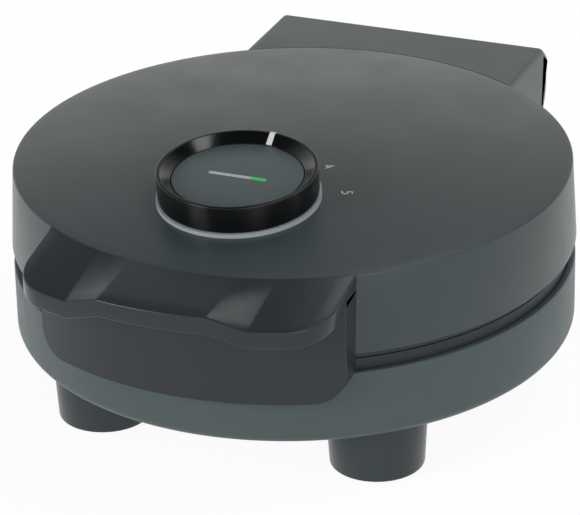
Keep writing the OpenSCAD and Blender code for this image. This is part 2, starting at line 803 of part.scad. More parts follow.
module dial_seat() {
    color([0.34, 0.36, 0.38]) at_dial() difference() {
        union() {
            translate([0, 0, seat_low]) cylinder(h = seat_top - seat_low, r = seat_flange_r);
            for (p = post_spots) translate([p[0], p[1], seat_top - eps])
                cylinder(h = disc_low - seat_top + eps, r = 2.6);
            for (x = [-thermo_post_x, thermo_post_x]) translate([x, -centre_gap, thermo_low - step_t])
                cylinder(h = seat_low - thermo_low + step_t + eps, r = thermo_post_r);
            for (x = [-15, 15]) translate([x, 4, board_top]) cylinder(h = seat_low - board_top + eps, r = 2.4);
        }
        translate([0, -centre_gap, -30]) cylinder(h = 40, r = shaft_r + run);
        translate([-light_len / 2 - 0.4, -light_w / 2 - 0.4, -10]) cube([light_len + 0.8, light_w + 0.8, 20]);
        for (p = post_spots) translate([p[0], p[1], -5]) cylinder(h = 20, r = 1);
        three_round(seat_screw_r) translate([0, 0, seat_low - past]) cylinder(h = past + 2.2, r = 1);
    }
}

module dial_seat_screws() {
    color(zinc) at_dial() three_round(seat_screw_r)
        translate([0, 0, seat_low - wall - 2 * seat]) {
        cylinder(h = wall + 2.4, r = 0.9, $fn = 24);
        translate([0, 0, -1.2]) cylinder(h = 1.2 + eps, r = 2.2, $fn = 24);
    }
}

module dial_disc() {
    color([0.29, 0.33, 0.33]) at_dial() difference() {
        translate([0, 0, disc_low]) cylinder(h = disc_h - disc_low, r = disc_r);
        translate([-light_len / 2 - run, -light_w / 2 - run, 0])
            cube([light_len + 2 * run, light_w + 2 * run, 20]);
    }
}

module light_bar() {
    color([0.75, 0.80, 0.78]) at_dial() translate([-light_len / 2, -light_w / 2, light_low])
        cube([light_len, light_w, disc_h - light_low]);
}

module lamp_board() {
    color([0.10, 0.35, 0.20]) at_dial() translate([-18, -3, board_top - board_t]) cube([36, 10, board_t]);
}

module indicator_lamps() {
    color([0.60, 0.85, 0.65]) at_dial() for (x = [-7, 7]) translate([x, 0, board_top])
        cylinder(h = 2.3, r = 1.1);
}

// Points of one involute gear, its tooth centred on the given angle
function involute(base, r) = sqrt(r * r / (base * base) - 1) * 180 / PI - acos(base / r);
function tooth_side(pitch, r, thick) =
    let (base = pitch * cos(pressure)) thick / (2 * pitch) * 180 / PI
    + involute(base, pitch) - involute(base, max(r, base));
function gear_points(teeth, low, top, thick, turn) = [
    for (i = [0 : teeth - 1]) for (side = [-1, 1]) for (k = [0 : 3])
        let (r = side < 0 ? low + (top - low) * k / 3 : top - (top - low) * k / 3,
            a = turn + i * 360 / teeth + side * tooth_side(teeth * tooth / 2, r, thick))
        [r * cos(a), r * sin(a)]
];

module dial_ring() {
    bevel_top_r = dial_r - dial_lip;
    bevel_low_r = disc_r + seat;
    space = PI * tooth / 2 + backlash / 2;
    color([0.05, 0.05, 0.06]) at_dial() difference() {
        translate([0, 0, gear_low]) cylinder(h = dial_h - gear_low, r = dial_r, $fn = 180);
        translate([0, 0, gear_low - past]) linear_extrude(dial_h)
            polygon(gear_points(ring_teeth, pitch_r - tooth, pitch_r + 1.2 * tooth, space, -90));
        translate([0, 0, gear_top]) cylinder(h = dial_h, r = bevel_low_r);
        translate([0, 0, disc_h]) cylinder(h = dial_h - disc_h + eps, r1 = bevel_low_r, r2 = bevel_top_r);
        pointer_shape(fit);
    }
}

// A narrow prism that lies in the ring's bevel
module pointer_shape(grow) {
    start_r = disc_r + 2 * seat - grow;
    rotate(pointer_angle) translate([start_r, -pointer_w / 2 - grow, disc_h - 2 * seat - grow])
        cube([dial_r - dial_lip + 0.2 + grow - start_r, pointer_w + 2 * grow, dial_h - disc_h + past]);
}

module dial_pointer() {
    color([0.92, 0.92, 0.92]) at_dial() intersection() {
        pointer_shape(0);
        difference() {
            translate([0, 0, disc_h - 1]) cylinder(h = dial_h - disc_h + 1, r = dial_r);
            translate([0, 0, disc_h])
                cylinder(h = dial_h - disc_h + eps, r1 = disc_r + seat, r2 = dial_r - dial_lip);
        }
    }
}

module thermostat_shaft() {
    color([0.72, 0.70, 0.62]) at_dial() translate([0, -centre_gap, thermo_top - 3])
        cylinder(h = gear_top - thermo_top + 3, r = shaft_r);
}

module shaft_pinion() {
    color([0.88, 0.87, 0.82]) at_dial() translate([0, -centre_gap, gear_low]) difference() {
        linear_extrude(gear_top - gear_low)
            polygon(gear_points(pinion_teeth, pinion_pitch_r - 1.2 * tooth, pinion_pitch_r + 0.9 * tooth,
                PI * tooth / 2 - backlash / 2, -90));
        translate([0, 0, -past]) cylinder(h = 20, r = shaft_r + fit);
    }
}

module thermostat() {
    color([0.82, 0.80, 0.74]) at_dial() translate([0, -centre_gap, thermo_low]) difference() {
        translate([-thermo_half, -thermo_half, 0]) cube([2 * thermo_half, 2 * thermo_half, thermo_h]);
        translate([0, 0, thermo_h - 3.2]) cylinder(h = 10, r = shaft_r + run);
    }
}

module thermostat_bracket() {
    color(zinc) at_dial() translate([0, -centre_gap, thermo_low - step_t]) difference() {
        union() {
            translate([-thermo_post_x - 4, -6, -strap_t]) cube([2 * thermo_post_x + 8, 12, strap_t]);
            translate([-8, -6, -eps]) cube([16, 12, step_t + eps]);
        }
        for (x = [-thermo_post_x, thermo_post_x]) translate([x, 0, -5]) cylinder(h = 10, r = 1.6);
    }
}

module bracket_nuts() {
    color(zinc) at_dial() for (x = [-thermo_post_x, thermo_post_x])
        translate([x, -centre_gap, thermo_low - step_t - strap_t]) mirror([0, 0, 1])
        cylinder(h = 1.6, r = 2.6, $fn = 6);
}

module lid_leads() {
    tube_end_z = upper_back + tube_r + boss_h + 7.5;
    end_x = loop_r * sin(pin_turn);
    end_y = loop_r * cos(pin_turn);
    start_x = lead_end_x + 2.1 + seat;
    fork = [lead_in_x, lid_top_r - 28, tube_end_z + 4];
    color(sleeve_red) at_drum() {
        wire_path([[start_x, hinge_back, hinge_z], [lead_in_x, hinge_back, hinge_z],
            [lead_in_x, lid_top_r - 12, hinge_z], fork], 2);
        for (s = [-1, 1]) wire_path([fork, [end_x * s, end_y, tube_end_z]], 1.3);
        wire_path([fork, [6, 20, tube_end_z + 4], [6, 5 - dial_front, tube_end_z + 1],
            [6, -dial_front, dial_seat_z - 16]], 1.3);
    }
}

base_shell();
base_rim_ring();
feet();
foot_pads();
foot_screws();
base_screws();
lower_baking_plate();
lower_heating_tube();
lower_reflector();
lower_plate_screws();
terminal_block();
thermal_fuse();
base_leads();
cord_gland();
hinge_bracket();
bracket_screws();
hinge_pins();
lid_shell();
lid_rim_ring();
lid_screws();
lid_handle();
handle_screws();
hinge_cover();
cover_screws();
upper_baking_plate();
upper_heating_tube();
upper_reflector();
upper_plate_screws();
thermostat();
thermostat_bracket();
bracket_nuts();
lid_leads();
dial_seat();
dial_seat_screws();
dial_disc();
light_bar();
lamp_board();
indicator_lamps();
dial_ring();
dial_pointer();
thermostat_shaft();
shaft_pinion();
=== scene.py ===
import json
import math

import bmesh
import bpy
from mathutils import Matrix, Vector


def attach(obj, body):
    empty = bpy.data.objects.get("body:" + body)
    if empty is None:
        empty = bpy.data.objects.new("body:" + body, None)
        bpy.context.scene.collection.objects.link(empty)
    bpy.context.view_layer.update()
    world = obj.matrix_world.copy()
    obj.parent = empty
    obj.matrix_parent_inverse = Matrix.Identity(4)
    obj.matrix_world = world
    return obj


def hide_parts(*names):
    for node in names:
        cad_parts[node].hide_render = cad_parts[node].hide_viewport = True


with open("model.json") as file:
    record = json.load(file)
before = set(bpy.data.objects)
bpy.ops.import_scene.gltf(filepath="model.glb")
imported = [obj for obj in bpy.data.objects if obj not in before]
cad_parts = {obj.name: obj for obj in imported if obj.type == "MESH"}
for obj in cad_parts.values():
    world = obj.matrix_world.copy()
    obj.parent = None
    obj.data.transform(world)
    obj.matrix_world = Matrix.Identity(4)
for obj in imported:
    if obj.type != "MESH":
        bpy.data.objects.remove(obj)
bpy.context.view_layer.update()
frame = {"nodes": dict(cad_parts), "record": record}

# Sizes in millimetres, as in the part's source
MM = 0.001
DRUM_Y = -0.95
LID_TOP_R, LID_LOW_R, BASE_R = 112.0, 113.8, 113.5
BASE_Z, BASE_TOP, LID_LOW, LID_TOP = 27.2, 56.6, 64.6, 97.1
DOME_RISE, WALL = 8.0, 2.6
DOME_R = (LID_TOP_R ** 2 + DOME_RISE ** 2) / (2 * DOME_RISE)
DOME_Z = LID_TOP + DOME_RISE - DOME_R
HOUSING_W, HOUSING_FRONT, HOUSING_BACK, HOUSING_CORNER = 54.0, 96.0, 138.0, 8.0
HOUSING_LOW, HOUSING_TOP = 36.2, 54.0
GLAND_X, GLAND_Z, GLAND_R = 26.0, 46.4, 6.5
VENTS, VENT_RING_R, VENT_HALF, VENT_HALF_W, VENT_ROUND = 12, 30.0, 8.0, 1.5, 1.4
BORES, BORE_RING_R, BORE_R = 4, 103.0, 3.3
FOOT_X, FOOT_Y, FOOT_LOW, FOOT_LOW_R, FOOT_TOP_R = 58.5, 61.5, 1.2, 18.7, 20.2
PAD_R, PAD_H, PAD_FIT = 13.0, 2.5, 0.2
HANDLE_W, LIP_REACH, LIP_T, LIP_RISE = 63.0, 141.6, 7.4, 4.8
LIP_DROP, LIP_BACK, LIP_EDGE, LIP_BEND = 7.1, -84.0, 0.7, 0.4
LIP_MID, LIP_RAMP, LIP_CORNER, LIP_SOFT = 22.0, 14.6, 20.6, 0.2
FLAP_R, FLAP_DEPTH, FLAP_CORNER, FLAP_OVERLAP, FLAP_STEP = 122.0, 48.0, 11.0, 0.9, 3.14
LID_FIT, BASE_FIT = 0.1, 0.6
HINGE_Y, HINGE_Z, COVER_R, COVER_W = 119.5, 81.9, 24.0, 60.3
COVER_FRONT, COVER_BACK, COVER_EDGE = 90.0, 138.2, 2.4
COVER_FROM, COVER_TO, ROOM_FROM, ROOM_TO = -46.1, 37.5, -80, 36.5
ROOM_LOW, ROOM_MOUTH = 50.0, 120.0
ARM_SPOTS, ARM_GAP_W, ARM_GAP_FRONT, ARM_GAP_RISE = (-46, -12, 46), 6.5, 127.8, 9.5
EAR_SPOTS, EAR_T, EAR_R, EAR_FRONT, EAR_BACK = (-56.6, -39.4, 35.4, 52.6), 4, 8, 111.5, 127.5
PIN_R, PIN_END = 2.55, 57.7
LEAD_X, LEAD_Y, LEAD_R = 10.0, 112.0, 3.5
DIAL_Y, DIAL_TILT, DIAL_R, DIAL_H, DIAL_SINK = 55.2, 4.7, 31.5, 13.3, 0.9
DIAL_Z = DOME_Z + math.sqrt(DOME_R ** 2 - DIAL_Y ** 2) - DIAL_SINK
KNOB_IN_R, KNOB_LOW, KNOB_STEP = 25.2, 2.4, 6.0
BEVEL_TOP_R, BEVEL_LOW_R = 30.0, 26.0
MARK_FIRST, MARK_LAST, MARK_HALF_W, MARK_TURN = 26.3, 31.2, 1.2, 85.0
MARK_LOW, MARK_HIGH = -0.1, 0.03
SEAT_R, SEAT_IN_R, SEAT_LOW, SEAT_TOP = 32.2, 24.0, -1.0, 2.1
SEAT_FIT, GEAR_ROOM_R = 0.1, 25.0
DISC_R, DISC_LOW, DISC_H = 25.7, 6.3, 9.8
BAR_HALF, BAR_HALF_W, BAR_FIT, BAR_DEPTH = 12.0, 1.0, 0.05, 1.4
DIGIT_R, DIGIT_SIZE, DIGIT_FIRST, DIGIT_STEP, DIGIT_T = 41.6, 6.6, 23.5, 32.0, 0.02
PLATE_R, PLATE_T, LOWER_FACE, UPPER_FACE = 95.0, 5.0, 60.8, 62.4
GROOVE_DEPTH, GROOVE_W, PATTERN_DEPTH = 0.8, 1.5, 0.8
PETALS, PETAL_X, PETAL_HALF, PETAL_R, PETAL_SINK, PETAL_SCALE = 12, 50, 26, 34, 26, 0.84
SMALL_PETALS, SMALL_X, SMALL_SCALE = 6, 12, 0.42
DOTS, DOT_R, DOT_RING_R, ON_AXIS = 12, 3.4, 62.0, 0.001
BOSSES, BOSS_R, BOSS_H, BOSS_RING_R = 3, 4.0, 9.5, 40.0

AT_DRUM = Matrix.Translation((0, DRUM_Y, 0))
AT_DIAL = (AT_DRUM @ Matrix.Translation((0, -DIAL_Y, DIAL_Z))
           @ Matrix.Rotation(math.radians(DIAL_TILT), 4, "X"))


# Camera

def photo_camera():
    """The camera of the photograph, found from the drum's, dial's and handle's edges."""
    azimuth, elevation, roll = math.radians(22.55), math.radians(25.98), math.radians(-1.31)
    target, distance = Vector((0.01234, -0.03586, 0.06941)), 1.3706
    out = Vector((math.sin(azimuth) * math.cos(elevation), -math.cos(azimuth) * math.cos(elevation),
                  math.sin(elevation)))
    right = Vector((math.cos(azimuth), math.sin(azimuth), 0))
    up = out.cross(right)
    rolled_right = math.cos(roll) * right + math.sin(roll) * up
    rolled_up = math.cos(roll) * up - math.sin(roll) * right
    spot = target + out * distance
    camera = bpy.data.cameras.new("photo_camera")
    camera.sensor_width, camera.lens = 36, 215.75
    camera.clip_start, camera.clip_end = 0.05, 50
    holder = bpy.data.objects.new("photo_camera", camera)
    bpy.context.scene.collection.objects.link(holder)
    turn = Matrix((rolled_right, rolled_up, out)).transposed().to_4x4()
    holder.matrix_world = Matrix.Translation(spot) @ turn
    bpy.context.scene.camera = holder


# Shader groups

def new_group(name, inputs, outputs):
    group = bpy.data.node_groups.new(name, "ShaderNodeTree")
    for label, kind, value in inputs:
        socket = group.interface.new_socket(label, in_out="INPUT", socket_type="NodeSocket" + kind)
        if value is not None:
            socket.default_value = value
    for label, kind in outputs:
        group.interface.new_socket(label, in_out="OUTPUT", socket_type="NodeSocket" + kind)
    return group, group.nodes.new("NodeGroupInput"), group.nodes.new("NodeGroupOutput")


def join(tree, pairs):
    for source, target in pairs:
        tree.links.new(source, target)


def noise(tree, where, scale, detail=2.0, rough=0.5, size=None):
    """Noise at a scale, or at the scale that the socket size gives."""
    node = tree.nodes.new("ShaderNodeTexNoise")
    node.inputs["Scale"].default_value = scale
    node.inputs["Detail"].default_value = detail
    node.inputs["Roughness"].default_value = rough
    tree.links.new(where, node.inputs["Vector"])
    if size is not None:
        tree.links.new(size, node.inputs["Scale"])
    return node.outputs["Fac"]


def spread(tree, value, low, high, to_low=0.0, to_high=1.0):
    """Maps a value from one range to another."""
    node = tree.nodes.new("ShaderNodeMapRange")
    node.inputs["From Min"].default_value = low
    node.inputs["From Max"].default_value = high
    for label, end in (("To Min", to_low), ("To Max", to_high)):
        if isinstance(end, (int, float)):
            node.inputs[label].default_value = end
        else:
            tree.links.new(end, node.inputs[label])
    tree.links.new(value, node.inputs["Value"])
    return node.outputs["Result"]


def mixed(tree, factor, first, second):
    """A colour between two, each a socket or a constant."""
    node = tree.nodes.new("ShaderNodeMix")
    node.data_type = "RGBA"
    for socket, end in ((node.inputs[0], factor), (node.inputs[6], first), (node.inputs[7], second)):
        if hasattr(end, "is_linked"):
            tree.links.new(end, socket)
        else:
            socket.default_value = end
    return node.outputs[2]


def maths(tree, kind, first, second):
    node = tree.nodes.new("ShaderNodeMath")
    node.operation = kind
    for socket, end in zip(node.inputs, (first, second)):
        if hasattr(end, "is_linked"):
            tree.links.new(end, socket)
        else:
            socket.default_value = end
    return node.outputs[0]


def moulded_surface():
    """Spark-eroded grain, a slow drift of tone and a little dust on what faces up."""
    group, given, gives = new_group(
        "moulded_surface",
        [("Colour", "Color", (0.1, 0.1, 0.1, 1)), ("Drift colour", "Color", (0.12, 0.12, 0.12, 1)),
         ("Grain size", "Float", 2600.0), ("Smooth", "Float", 0.34), ("Rough", "Float", 0.46),
         ("Dust", "Float", 0.02)],
        [("Colour", "Color"), ("Roughness", "Float"), ("Height", "Float")])
    place = group.nodes.new("ShaderNodeTexCoord").outputs["Object"]
    drift = spread(group, noise(group, place, 14.0, 3.0), 0.35, 0.68)
    tone = mixed(group, drift, given.outputs["Colour"], given.outputs["Drift colour"])
    facing = group.nodes.new("ShaderNodeSeparateXYZ")
    group.links.new(group.nodes.new("ShaderNodeNewGeometry").outputs["Normal"], facing.inputs[0])
    upward = spread(group, facing.outputs["Z"], 0.6, 1.0)
    specks = spread(group, noise(group, place, 900.0, 4.0, 0.7), 0.6, 0.78)
    amount = maths(group, "MULTIPLY", maths(group, "MULTIPLY", specks, upward), given.outputs["Dust"])
    grain = noise(group, place, 2600.0, 1.5, 0.5, given.outputs["Grain size"])
    rub = spread(group, noise(group, place, 36.0, 4.0, 0.6), 0.3, 0.7,
                 given.outputs["Smooth"], given.outputs["Rough"])
    join(group, [(mixed(group, amount, tone, (0.62, 0.61, 0.58, 1)), gives.inputs["Colour"]),
                 (rub, gives.inputs["Roughness"]), (grain, gives.inputs["Height"])])
    return group


def metal_surface():
    """Rolled or drawn metal: streaks one way, stains and a varying polish."""
    group, given, gives = new_group(
        "metal_surface",
        [("Colour", "Color", (0.6, 0.6, 0.6, 1)), ("Stain", "Color", (0.4, 0.36, 0.3, 1)),
         ("Stain amount", "Float", 0.3), ("Smooth", "Float", 0.2), ("Rough", "Float", 0.4)],
        [("Colour", "Color"), ("Roughness", "Float"), ("Height", "Float")])
    place = group.nodes.new("ShaderNodeTexCoord").outputs["Object"]
    stretch = group.nodes.new("ShaderNodeMapping")
    stretch.inputs["Scale"].default_value = (1.0, 14.0, 14.0)
    group.links.new(place, stretch.inputs["Vector"])
    streak = noise(group, stretch.outputs["Vector"], 220.0, 3.0, 0.6)
    patch = spread(group, noise(group, place, 60.0, 4.0, 0.6), 0.42, 0.75)
    stained = mixed(group, maths(group, "MULTIPLY", patch, given.outputs["Stain amount"]),
                    given.outputs["Colour"], given.outputs["Stain"])
    polish = spread(group, streak, 0.3, 0.7, given.outputs["Smooth"], given.outputs["Rough"])
    join(group, [(stained, gives.inputs["Colour"]), (streak, gives.inputs["Height"]),
                 (polish, gives.inputs["Roughness"])])
    return group


SURFACES = {"moulded": moulded_surface(), "metal": metal_surface()}


# Materials

def shade(value):
    """An sRGB value from 0 to 255 as a linear one."""
    value /= 255
    return value / 12.92 if value <= 0.04045 else ((value + 0.055) / 1.055) ** 2.4


def rgb(r, g, b):
    return (shade(r), shade(g), shade(b), 1)


def finish_material(name, kind, bump=0.1, bump_depth=0.00002, values=None, **plain):
    """A Principled shader fed by one surface group; plain holds what is the same all over."""
    material = bpy.data.materials.new(name)
    material.use_nodes = True
    tree = material.node_tree
    shader = tree.nodes["Principled BSDF"]
    surface = tree.nodes.new("ShaderNodeGroup")
    surface.node_tree = SURFACES[kind]
    for label, value in (values or {}).items():
        surface.inputs[label].default_value = value
    relief = tree.nodes.new("ShaderNodeBump")
    relief.inputs["Strength"].default_value = bump
    relief.inputs["Distance"].default_value = bump_depth
    join(tree, [(surface.outputs["Colour"], shader.inputs["Base Color"]),
                (surface.outputs["Roughness"], shader.inputs["Roughness"]),
                (surface.outputs["Height"], relief.inputs["Height"]),
                (relief.outputs["Normal"], shader.inputs["Normal"])])
    for label, value in plain.items():
        shader.inputs[label.replace("_", " ")].default_value = value
    return material


def plastic(name, colour, drift, smooth, rough, grain=2600.0, bump=0.1, dust=0.02, **plain):
    return finish_material(name, "moulded", bump, 0.00002, {
        "Colour": rgb(*colour), "Drift colour": rgb(*drift), "Smooth": smooth, "Rough": rough,
        "Grain size": grain, "Dust": dust}, **plain)


def metal(name, colour, stain, amount, smooth, rough, bump=0.15):
    return finish_material(name, "metal", bump, 0.00003, {
        "Colour": rgb(*colour), "Stain": rgb(*stain), "Stain amount": amount, "Smooth": smooth,
        "Rough": rough}, Metallic=1.0)


def light_guide():
    """The frosted bar: its right end glows green, the rest is pale."""
    material = plastic("light_guide", (196, 200, 198), (176, 182, 180), 0.25, 0.35)
    tree = material.node_tree
    shader = tree.nodes["Principled BSDF"]
    across = tree.nodes.new("ShaderNodeSeparateXYZ")
    join(tree, [(tree.nodes.new("ShaderNodeTexCoord").outputs["Object"], across.inputs[0])])
    lit = spread(tree, across.outputs["X"], 0.0048, 0.0062)
    surface = next(n for n in tree.nodes if n.type == "GROUP")
    join(tree, [(mixed(tree, lit, surface.outputs["Colour"], rgb(40, 160, 80)), shader.inputs["Base Color"]),
                (mixed(tree, lit, (0, 0, 0, 1), rgb(30, 200, 90)), shader.inputs["Emission Color"])])
    shader.inputs["Emission Strength"].default_value = 0.4
    return material


def all_materials():
    return {
        "base_plastic": plastic("base_plastic", (76, 88, 89), (80, 92, 93), 0.38, 0.48,
                                Specular_IOR_Level=0.3),
        "lid_plastic": plastic("lid_plastic", (60, 70, 72), (63, 73, 75), 0.30, 0.38,
                               Specular_IOR_Level=0.42),
        # Painted shade: the rims' colour is made darker to stand in for the shade in the recessed gap between
        # lid and base.
        "rim_plastic": plastic("rim_plastic", (44, 50, 53), (48, 54, 57), 0.42, 0.55,
                               Specular_IOR_Level=0.3),
        # Partly the handle's own darker plastic, partly painted shade: the colour is darkened to stand in for
        # the lip's shadow on the flap, which the low lamps do not cast.
        "handle_plastic": plastic("handle_plastic", (44, 50, 54), (46, 52, 56), 0.22, 0.26,
                                  Specular_IOR_Level=0.3),
        "hinge_plastic": plastic("hinge_plastic", (84, 93, 92), (90, 99, 98), 0.42, 0.50),
        "foot_plastic": plastic("foot_plastic", (52, 61, 63), (56, 65, 67), 0.26, 0.32,
                                Specular_IOR_Level=0.3),
        "inner_plastic": plastic("inner_plastic", (44, 46, 48), (52, 54, 55), 0.5, 0.6,
                                 grain=1600.0, bump=0.2),
        "pad_rubber": plastic("pad_rubber", (34, 34, 35), (42, 42, 42), 0.75, 0.9,
                              grain=1800.0, bump=0.35, dust=0.08),
        "gland_rubber": plastic("gland_rubber", (26, 26, 27), (32, 32, 33), 0.6, 0.75,
                                grain=1800.0, bump=0.3),
        "steel": metal("steel", (190, 192, 194), (150, 146, 136), 0.3, 0.22, 0.38),
        "plate_coating": plastic("plate_coating", (40, 40, 42), (48, 48, 50), 0.30, 0.42,
                                 grain=1400.0, bump=0.3, dust=0.05, Coat_Weight=0.15),
        "heater_steel": metal("heater_steel", (150, 132, 112), (92, 84, 96), 0.7, 0.3, 0.5),
        "reflector_metal": metal("reflector_metal", (206, 208, 210), (168, 158, 140), 0.35, 0.18, 0.34),
        "lead_insulation": plastic("lead_insulation", (168, 66, 48), (186, 80, 58), 0.45, 0.6, bump=0.15),
        "dial_gloss": plastic("dial_gloss", (5, 8, 9), (6, 9, 10), 0.17, 0.21,
                              bump=0.012, dust=0.002, Specular_IOR_Level=0.45),
        "dial_seat_plastic": plastic("dial_seat_plastic", (176, 184, 187), (168, 176, 179), 0.34, 0.44),
        "disc_plastic": plastic("disc_plastic", (78, 91, 92), (81, 94, 95), 0.34, 0.42, bump=0.06),
        "pointer_white": plastic("pointer_white", (232, 232, 230), (222, 222, 220), 0.3, 0.4, dust=0.0),
        "lens": light_guide(),
        "board": plastic("board", (30, 92, 56), (40, 104, 62), 0.4, 0.55),
        "lamp": plastic("lamp", (120, 214, 140), (140, 226, 156), 0.1, 0.2, Transmission_Weight=0.3),
        "shaft_brass": metal("shaft_brass", (206, 178, 112), (160, 128, 74), 0.3, 0.2, 0.34),
        "gear_plastic": plastic("gear_plastic", (226, 222, 206), (214, 208, 190), 0.4, 0.5, bump=0.12),
        "digit_print": plastic("digit_print", (206, 214, 214), (198, 206, 206), 0.4, 0.5, dust=0.0),
    }


FINISH = all_materials()
SLOT_OF = {s["node"]: s["material_slot"] for s in frame["record"]["subparts"]}


# Shapes

def rounded(corners, steps=6):
    """A closed outline from (x, y, radius) corners, each corner rounded by its radius."""
    outline = []
    count = len(corners)
    for i, (x, y, radius) in enumerate(corners):
        here = Vector((x, y))
        back = Vector(corners[i - 1][:2]) - here
        on = Vector(corners[(i + 1) % count][:2]) - here
        if radius <= 0 or back.length < 1e-6 or on.length < 1e-6:
            outline.append((x, y))
            continue
        back.normalize()
        on.normalize()
        half = math.acos(max(-1, min(1, back.dot(on)))) / 2
        if half > math.pi / 2 - 0.02:
            outline.append((x, y))
            continue
        reach = radius / math.tan(half)
        centre = here + (back + on).normalized() * (radius / math.sin(half))
        first = (here + back * reach) - centre
        last = (here + on * reach) - centre
        sweep = math.atan2(first.x * last.y - first.y * last.x, first.dot(last))
        for k in range(steps + 1):
            turn = sweep * k / steps
            spot = centre + Vector((first.x * math.cos(turn) - first.y * math.sin(turn),
                                    first.x * math.sin(turn) + first.y * math.cos(turn)))
            outline.append((spot.x, spot.y))
    return outline


def arc(x, y, radius, start, end, steps):
    """Points along a circle, from one angle in degrees to another."""
    angles = [math.radians(start + (end - start) * k / steps) for k in range(steps + 1)]
    return [(x + radius * math.cos(a), y + radius * math.sin(a)) for a in angles]


def rectangle(half, front, back, front_r, back_r):
    """Corners of a rectangle centred on X, with radii for its front and its back corners."""
    return [(-half, front, front_r), (half, front, front_r), (half, back, back_r), (-half, back, back_r)]


def turned(profile, steps=192):
    """Turns a closed profile of (radius, height) points round the Z axis."""
    work = bmesh.new()
    angles = [2 * math.pi * k / steps for k in range(steps)]
    rings = []
    for radius, height in profile:
        if radius < 1e-6:
            rings.append([work.verts.new((0, 0, height))])
        else:
            ring = [(radius * math.cos(a), radius * math.sin(a), height) for a in angles]
            rings.append([work.verts.new(spot) for spot in ring])
    for i, ring in enumerate(rings):
        after = rings[(i + 1) % len(rings)]
        if len(ring) == 1 and len(after) == 1:
            continue
        for k in range(steps):
            j = (k + 1) % steps
            if len(ring) == 1:
                work.faces.new((ring[0], after[j], after[k]))
            elif len(after) == 1:
                work.faces.new((ring[k], ring[j], after[0]))
            else:
                work.faces.new((ring[k], ring[j], after[j], after[k]))
    bmesh.ops.recalc_face_normals(work, faces=work.faces)
    return work


def inset_outline(outline, distance):
    """Moves a counter-clockwise outline inwards."""
    moved = []
    count = len(outline)
    for i in range(count):
        here = Vector(outline[i])
        a = (here - Vector(outline[i - 1])).normalized()
        b = (Vector(outline[(i + 1) % count]) - here).normalized()
        na, nb = Vector((-a.y, a.x)), Vector((-b.y, b.x))
        middle = (na + nb).normalized()
        moved.append(tuple(here + middle * distance / max(0.3, middle.dot(na))))
    return moved


def slab(outline, low, high, low_edge=0.0, high_edge=0.0, steps=4):
    """A plate with that outline, whose two rims are rounded by their edges' radii."""
    levels = []
    for k in range(steps + 1) if low_edge else [steps]:
        turn = math.pi / 2 * k / steps
        levels.append((low_edge * (1 - math.sin(turn)), low + low_edge * (1 - math.cos(turn))))
    for k in range(steps, -1, -1) if high_edge else [steps]:
        turn = math.pi / 2 * k / steps
        levels.append((high_edge * (1 - math.sin(turn)), high - high_edge * (1 - math.cos(turn))))
    work = bmesh.new()
    rings = []
    for inset, height in levels:
        moved = inset_outline(outline, inset) if inset > 1e-6 else outline
        rings.append([work.verts.new((x, y, height)) for x, y in moved])
    count = len(outline)
    for below, above in zip(rings, rings[1:]):
        for k in range(count):
            j = (k + 1) % count
            work.faces.new((below[k], below[j], above[j], above[k]))
    work.faces.new(list(reversed(rings[0])))
    work.faces.new(rings[-1])
    return work


def cut_across(work, axis, spots):
    """Splits every face that crosses the given places along one axis."""
    normal = Vector((1, 0, 0)) if axis == "x" else Vector((0, 1, 0)) if axis == "y" else Vector((0, 0, 1))
    for spot in spots:
        bmesh.ops.bisect_plane(work, geom=work.verts[:] + work.edges[:] + work.faces[:],
                               plane_co=normal * spot, plane_no=normal, dist=1e-5)


def remap(work, place):
    """Moves each vertex to where a function puts it."""
    for v in work.verts:
        v.co = place(v.co)


def joined(*works):
    """Several shapes as one."""
    whole = bmesh.new()
    for work in works:
        mesh = bpy.data.meshes.new("part_of_shape")
        work.to_mesh(mesh)
        work.free()
        whole.from_mesh(mesh)
        bpy.data.meshes.remove(mesh)
    return whole


def merged(name, meshes):
    """Several meshes as one."""
    work = bmesh.new()
    for mesh in meshes:
        work.from_mesh(mesh)
    whole = bpy.data.meshes.new(name)
    work.to_mesh(whole)
    work.free()
    return whole


def to_mesh(name, work, matrix=AT_DRUM):
    """A mesh in metres from a shape in millimetres, put in its place."""
    mesh = bpy.data.meshes.new(name)
    work.to_mesh(mesh)
    work.free()
    mesh.transform(Matrix.Scale(MM, 4) @ matrix)
    return mesh


def smooth_by_angle(mesh, degrees):
    """Smooth shading, with edges that are at least that sharp left as edges."""
    work = bmesh.new()
    work.from_mesh(mesh)
    limit = math.radians(degrees)
    for face in work.faces:
        face.smooth = True
    for edge in work.edges:
        edge.smooth = len(edge.link_faces) == 2 and edge.calc_face_angle(0) < limit
    work.to_mesh(mesh)
    work.free()


def place_piece(name, mesh, body, finish, nodes=(), angle=32):
    """Puts a finished mesh on its body, with its material."""
    smooth_by_angle(mesh, angle)
    mesh.materials.clear()
    mesh.materials.append(FINISH[finish])
    holder = bpy.data.objects.new(name, mesh)
    bpy.context.scene.collection.objects.link(holder)
    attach(holder, body)
    if nodes:
        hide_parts(*nodes)
    return holder


def less(mesh, cutter):
    """The mesh with another shape taken out of it."""
    pair = [bpy.data.objects.new("shape", mesh), bpy.data.objects.new("cutter", cutter)]
    for o in pair:
        bpy.context.scene.collection.objects.link(o)
    step = pair[0].modifiers.new("cut", "BOOLEAN")
    step.operation, step.solver, step.object = "DIFFERENCE", "EXACT", pair[1]
    made = bpy.data.meshes.new_from_object(pair[0].evaluated_get(bpy.context.evaluated_depsgraph_get()))
    for o in pair:
        bpy.data.objects.remove(o)
    return made


